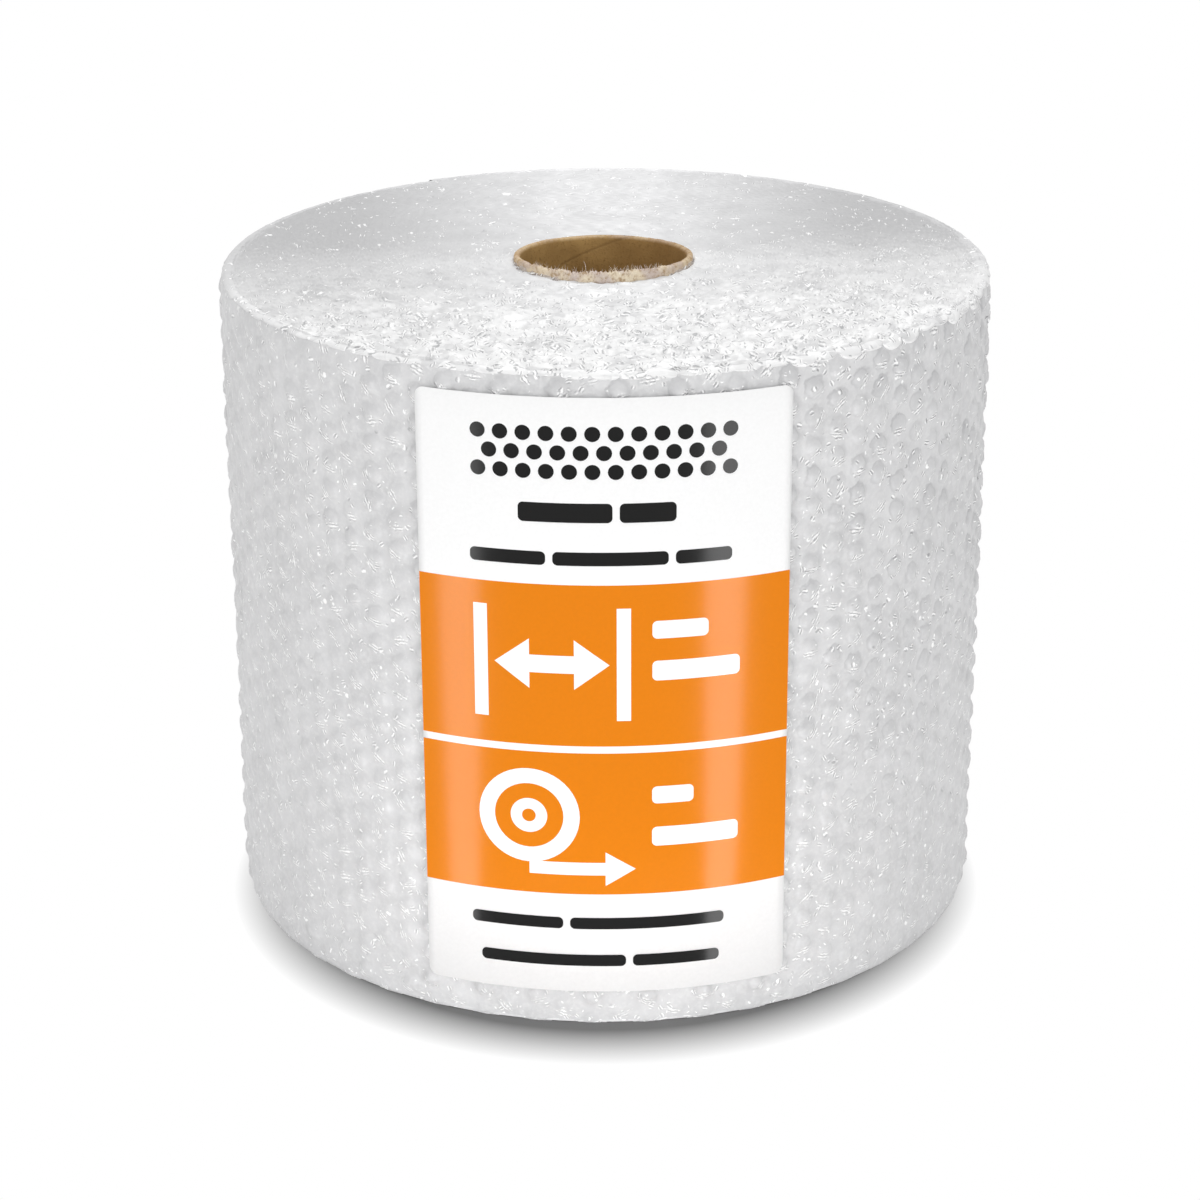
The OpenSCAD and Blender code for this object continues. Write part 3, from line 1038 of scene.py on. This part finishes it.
# %% Film scraps at the core
SCRAP_LINES = 9
SCRAP_POINTS = 120


def make_scrap(name, from_degrees, to_degrees, tall, seed):
    points = []
    for line in range(SCRAP_LINES):
        up = line / (SCRAP_LINES - 1)
        for c in range(SCRAP_POINTS):
            share = c / (SCRAP_POINTS - 1)
            angle = math.radians(from_degrees + (to_degrees - from_degrees) * share)
            ends = math.sin(math.pi * share) ** 0.5
            wave = noise.noise(Vector((12 * share * (to_degrees - from_degrees) / 60, 2.2 * up, seed)))
            ragged = 0.75 + 0.5 * noise.noise(Vector((22 * share, seed, 0)))
            height = roll_height - 1.5 * MM + (tall * ragged * ends + 1.0 * MM) * up
            radius = core_radius + 0.9 * MM + 0.9 * MM * wave - 2.6 * MM * up * up
            points.append((radius * math.cos(angle), radius * math.sin(angle), height + 0.4 * MM * wave))
    return make_piece(name, new_mesh(name, points, grid_faces(SCRAP_LINES, SCRAP_POINTS)))


def make_scrap_material():
    material, wire, surface, place = new_material("film_scrap")
    wrinkles = place_wrinkles(wire, place, 300, 700, 0.8, 0.5)
    # The wrinkles' dark strokes are painted shade and their bright strokes painted glints
    body = wire.mix(wrinkles["Painted shade"], srgb(214, 208, 204), srgb(128, 112, 104))
    body = wire.mix(wrinkles["Bright"], body, srgb(253, 252, 250))
    cover = wire.ramp(wire.largest(wrinkles["Bright"], wrinkles["Painted shade"]), 0, 1, 0.4, 0.85)
    wire.fill(surface, {"Base Color": body, "Alpha": cover, "Roughness": 0.2})
    wire.bump(surface, wrinkles["Height"], 0.3 * MM, 0.6)
    return material


dress(make_scrap_material(),
      make_scrap("film_scrap_left", -178, -112, 4.2 * MM, 3.0),
      make_scrap("film_scrap_right", -48, 4, 3.0 * MM, 8.0))

# %% [markdown]
# ## The label
#
# The label is glossy paper, printed in two orange bands. Its outline is drawn flat, cut into
# narrow upright strips and bent round the roll, so that straight print follows the curve. An
# image would be the usual way to print it, but its edges blur close up, so the print is thin
# coloured patches on the paper, made with the same function.

# %% Bent patches
STRIP = 2.5 * MM
CUT_TOLERANCE = 0.01 * MM


def bend_round(shape, radius):
    for v in shape.verts:
        turned = v.co.x / radius
        r = radius - v.co.y
        v.co = Vector((r * math.sin(turned), -r * math.cos(turned), label_low.z + v.co.z))


def bent_patch(name, outlines, radius, depth=0.0):
    """Outlines in millimetres, right of the middle and up from the lower edge, bent round the roll."""
    shape = bmesh.new()
    for outline in outlines:
        shape.faces.new([shape.verts.new((x * MM, 0, z * MM)) for x, z in outline])
    steps = int(max(abs(v.co.x) for v in shape.verts) / STRIP) + 1
    for k in range(-steps, steps + 1):
        parts = list(shape.verts) + list(shape.edges) + list(shape.faces)
        bmesh.ops.bisect_plane(shape, geom=parts, plane_co=(k * STRIP, 0, 0), plane_no=(1, 0, 0),
                               dist=CUT_TOLERANCE)
    bmesh.ops.triangulate(shape, faces=list(shape.faces))
    if depth:
        grown = bmesh.ops.extrude_face_region(shape, geom=list(shape.faces))
        for v in grown["geom"]:
            if isinstance(v, bmesh.types.BMVert):
                v.co.y += depth
    bend_round(shape, radius)
    if depth:
        bmesh.ops.recalc_face_normals(shape, faces=list(shape.faces))
    mesh = bpy.data.meshes.new(name)
    shape.to_mesh(mesh)
    shape.free()
    return make_piece(name, mesh)


# %% Label sheet and bands
LABEL_CORNER = 4
label_arc = label_radius * math.asin(label_high.x / label_radius) / MM
label_mm = (label_high.z - label_low.z) / MM
# The bands' edges, as shares of the label's height from its top
BAND_EDGES = ((0.300, 0.569), (0.581, 0.826))
BAND_INSET = 0.05
PRINT_GAP = 0.04 * MM


def rounded_box(left, right, low, high, corner=0.0, steps=8):
    if corner <= 0:
        return [(left, low), (right, low), (right, high), (left, high)]
    points = []
    centres = ((right - corner, high - corner, 0), (left + corner, high - corner, 90),
               (left + corner, low + corner, 180), (right - corner, low + corner, 270))
    for x, z, start in centres:
        for k in range(steps + 1):
            a = math.radians(start + 90 * k / steps)
            points.append((x + corner * math.cos(a), z + corner * math.sin(a)))
    return points


paper = bent_patch("label_sheet", [rounded_box(-label_arc, label_arc, 0, label_mm, LABEL_CORNER)],
                   label_radius, depth=label_thickness)
band_arc = label_arc - BAND_INSET
band_boxes = [rounded_box(-band_arc, band_arc, (1 - low) * label_mm, (1 - high) * label_mm)
              for high, low in BAND_EDGES]
bands = bent_patch("label_bands", band_boxes, label_radius + PRINT_GAP)

# %% [markdown]
# Signs for width and length stand where a real label has its text. They are built from a few
# flat shapes: discs, rings, bars in place of words, and arrows.

# %% Shapes for signs
def disc(x, z, radius, points=20):
    angles = [2 * math.pi * k / points for k in range(points)]
    return [(x + radius * math.cos(a), z + radius * math.sin(a)) for a in angles]


def ring(x, z, outer, inner, points=48):
    """A ring made of short four-sided pieces."""
    parts = []
    for k in range(points):
        a, b = 2 * math.pi * k / points, 2 * math.pi * (k + 1) / points
        parts.append([(x + r * math.cos(t), z + r * math.sin(t))
                      for r, t in ((inner, a), (outer, a), (outer, b), (inner, b))])
    return parts


def word_bars(left, right, low, tall, lengths, gap=3.0):
    """A row of rounded bars in place of words, their lengths in proportion."""
    unit = (right - left - gap * (len(lengths) - 1)) / sum(lengths)
    bars, at = [], left
    for length in lengths:
        bars.append(rounded_box(at, at + length * unit, low, low + tall, min(tall / 2, 2.2) - 0.01))
        at += length * unit + gap
    return bars


def arrow_across(left, right, z, thick, head):
    return [rounded_box(left + head, right - head, z - thick / 2, z + thick / 2),
            [(left, z), (left + head, z - 0.75 * head), (left + head, z + 0.75 * head)],
            [(right, z), (right - head, z + 0.75 * head), (right - head, z - 0.75 * head)]]


# %% Black print
# Three staggered rows of bubbles, and bars where words would be, all in label millimetres
DOT_STEP, DOT_ROW, DOT_RADIUS, DOT_TOP = 9.6, 8.2, 3.3, 256.5
SIGN_RADIUS = label_radius + 2 * PRINT_GAP

black = []
for row, count in enumerate((12, 11, 12)):
    for k in range(count):
        black.append(disc((k - (count - 1) / 2) * DOT_STEP, DOT_TOP - DOT_ROW * row, DOT_RADIUS))
black += word_bars(-36, 30, 218, 8.5, (5, 3))
black += word_bars(-57, 54, 199, 6.0, (4, 6, 3))
black += word_bars(-59, 52, 30.5, 5.5, (3, 5))
black += word_bars(-55, 50, 12.5, 5.5, (5, 3))
black_signs = bent_patch("label_black_print", black, SIGN_RADIUS)

# %% White print
# On the upper band: the film's width, an arrow between two edges
white = [rounded_box(-56, -50, 129, 180), rounded_box(5, 11, 129, 180)]
white += arrow_across(-47, 2, 154.5, 8, 15)
white += word_bars(20, 44, 166, 8, (1,)) + word_bars(20, 58, 147, 9, (1,))
# On the lower band: the roll and the film that runs off it
white += ring(-33, 84, 22, 15) + ring(-33, 84, 8, 3)
white += [rounded_box(-33, 0, 56.5, 62.5), [(13, 59.5), (0, 67.5), (0, 51.5)]]
white += word_bars(20, 38, 90, 8, (1,)) + word_bars(20, 58, 70, 9, (1,))
white_signs = bent_patch("label_white_print", white, SIGN_RADIUS)

# %% [markdown]
# The paper is smooth and glossy, with a faint fleck in its colour and a slight swell that
# softens the streaks it mirrors. One function makes it in white, orange and black.

# %% Label material
def make_paper_material(name, colour):
    material, wire, surface, place = new_material(name)
    deeper = tuple(c * 0.97 for c in colour[:3]) + (1.0,)
    body = wire.mix(wire.ramp(wire.noise(place, 700), 0.3, 0.7), deeper, colour)
    wire.fill(surface, {"Base Color": body, "Roughness": 0.16, "Specular IOR Level": 0.16})
    wire.bump(surface, wire.noise(place, 25), 0.6 * MM, 0.12)
    return material


dress(make_paper_material("label_white", grey(252)), paper, white_signs)
dress(make_paper_material("label_orange", srgb(228, 128, 2)), bands)
dress(make_paper_material("label_black", grey(22)), black_signs)

# %% [markdown]
# ## Light
#
# The photo was lit like a product in a white studio. A sky of one even white fills every
# shadow, a large soft lamp above and a little behind makes the upper end bright, and a wide one
# in front whitens the label. Three small lamps near the foot stand for light that a glossy
# white table throws back. The camera and reflections don't see them.

# %% World
WORLD_STRENGTH = 0.76


def make_world():
    world = bpy.data.worlds.new("studio")
    world.use_nodes = True
    wire = Wiring(world.node_tree)
    ray = wire.add("ShaderNodeLightPath").outputs
    seen = wire.largest(ray["Is Camera Ray"], ray["Is Glossy Ray"], ray["Is Transmission Ray"])
    strength = wire.ramp(seen, 0, 1, WORLD_STRENGTH, 1.0)
    wire.fill(world.node_tree.nodes["Background"], {"Color": (1, 1, 1, 1), "Strength": strength})
    bpy.context.scene.world = world


make_world()
bpy.context.scene.view_settings.view_transform = "Standard"
print("world strength", WORLD_STRENGTH)

# %% Lamps
FOOT_LAMP_DISTANCE = 0.28
FOOT_LAMP_HEIGHT = 0.012
# Each foot lamp's name, direction in degrees from the front, and power in watts
FOOT_LAMPS = (("lamp_foot_left", -23, 0.016), ("lamp_foot_middle", 0, 0.017),
              ("lamp_foot_right", 23, 0.016))


def add_lamp(name, place, target, width, height, power):
    lamp = bpy.data.lights.new(name, "AREA")
    lamp.shape = "RECTANGLE"
    lamp.size = width
    lamp.size_y = height
    lamp.energy = power
    holder = add_object(name, lamp)
    holder.location = place
    holder.rotation_euler = (Vector(target) - Vector(place)).to_track_quat("-Z", "Y").to_euler()
    print(name, power, "W")
    return holder


add_lamp("lamp_above", (0, 0.45, 1.5), (0, 0, 0.2), 1.0, 0.7, 8.6)
add_lamp("lamp_front", (0, -2.2, 0.6), (0, 0, 0.1), 1.6, 0.9, 13.0)
for name, degrees, power in FOOT_LAMPS:
    sideways, forwards = math.sin(math.radians(degrees)), -math.cos(math.radians(degrees))
    place = (FOOT_LAMP_DISTANCE * sideways, FOOT_LAMP_DISTANCE * forwards, FOOT_LAMP_HEIGHT)
    foot_lamp = add_lamp(name, place, (0, 0, FOOT_LAMP_HEIGHT), 0.13, 0.02, power)
    foot_lamp.visible_camera = False
    foot_lamp.visible_glossy = False

# %% [markdown]
# ## Floor
#
# The photo's background is pure white, and only the roll's soft shadow shows on it. A white
# floor would look grey towards the horizon, so the camera sees a shader that takes the shadow
# close to the roll and turns into plain white light further off.

# %% Floor
FLOOR_REACH = 8
FLOOR_DROP = 0.1 * MM
SHADOW_START, SHADOW_END = 0.160, 0.190


def stage_sheet(name, corners, height=0.0):
    """A flat four-cornered sheet that dresses the scene and isn't part of the roll."""
    sheet = add_object(name, new_mesh(name, corners, [(0, 1, 2, 3)]))
    sheet.location.z = height
    return sheet


def make_floor():
    reach = FLOOR_REACH
    corners = [(-reach, -reach, 0), (reach, -reach, 0), (reach, reach, 0), (-reach, reach, 0)]
    floor = stage_sheet("floor", corners, -FLOOR_DROP)
    material, wire, surface, place = new_material("floor")
    ray = wire.add("ShaderNodeLightPath").outputs
    # The camera sees this floor dark grey, a painted shadow that deepens the roll's real shadow near its
    # foot, while all other rays see it white
    board_with_painted_shadow = wire.mix(ray["Is Camera Ray"], (0.9, 0.9, 0.9, 1), (0.22, 0.22, 0.22, 1))
    wire.fill(surface, {"Base Color": board_with_painted_shadow, "Roughness": 1.0, "Specular IOR Level": 0.0})
    # The floor turns to plain white a little in front of the roll and close beside it
    from_roll = wire.add("ShaderNodeMapping")
    wire.fill(from_roll, {"Vector": place, "Location": (0, 0.02, 0), "Scale": (1.06, 1, 1)})
    distance = wire.vector("LENGTH", from_roll.outputs["Vector"])
    far = wire.ramp(distance, SHADOW_START, SHADOW_END)
    seen = wire.largest(ray["Is Camera Ray"], ray["Is Glossy Ray"])
    blend = wire.add("ShaderNodeMixShader")
    parts = (wire.product(far, seen), surface.outputs[0], wire.add("ShaderNodeEmission").outputs[0])
    for socket, part in zip(blend.inputs, parts):
        wire.feed(socket, part)
    wire.fill(material.node_tree.nodes["Material Output"], {"Surface": blend.outputs[0]})
    dress(material, floor)


make_floor()

# %% [markdown]
# ## Reflectors
#
# The camera looks down on the roll, so the label mirrors the floor in front of it. Two long
# bright plates lie there like reflectors in a studio. Only reflections see them, so they add
# two upright streaks of gloss and no other light.

# %% Reflectors
REFLECTOR_NEAR, REFLECTOR_FAR = 0.02, 0.9
REFLECTOR_HEIGHT = 0.5 * MM


def make_reflector(name, start, from_degrees, to_degrees, strength):
    """A wedge from a start beside the roll, between two directions in degrees from the front."""
    corners = []
    for distance, degrees in ((REFLECTOR_NEAR, from_degrees), (REFLECTOR_FAR, from_degrees),
                              (REFLECTOR_FAR, to_degrees), (REFLECTOR_NEAR, to_degrees)):
        a = math.radians(degrees)
        x, y = start[0] + distance * math.sin(a), start[1] - distance * math.cos(a)
        corners.append((x, y, REFLECTOR_HEIGHT))
    plate = stage_sheet(name, corners)
    material = bpy.data.materials.new(name)
    material.use_nodes = True
    wire = Wiring(material.node_tree)
    glow = wire.fill(wire.add("ShaderNodeEmission"), {"Strength": strength}).outputs[0]
    wire.fill(material.node_tree.nodes["Material Output"], {"Surface": glow})
    dress(material, plate)
    plate.visible_camera = False
    plate.visible_diffuse = False
    plate.visible_shadow = False
    plate.visible_transmission = False


make_reflector("reflector_left", (-0.061, -0.167), -50, -36, 9.5)
make_reflector("reflector_right", (0.046, -0.172), 29, 43, 11.0)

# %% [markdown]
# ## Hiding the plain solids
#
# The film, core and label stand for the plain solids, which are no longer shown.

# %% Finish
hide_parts("bubble_film")
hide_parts("core_tube")
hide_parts("paper_label")
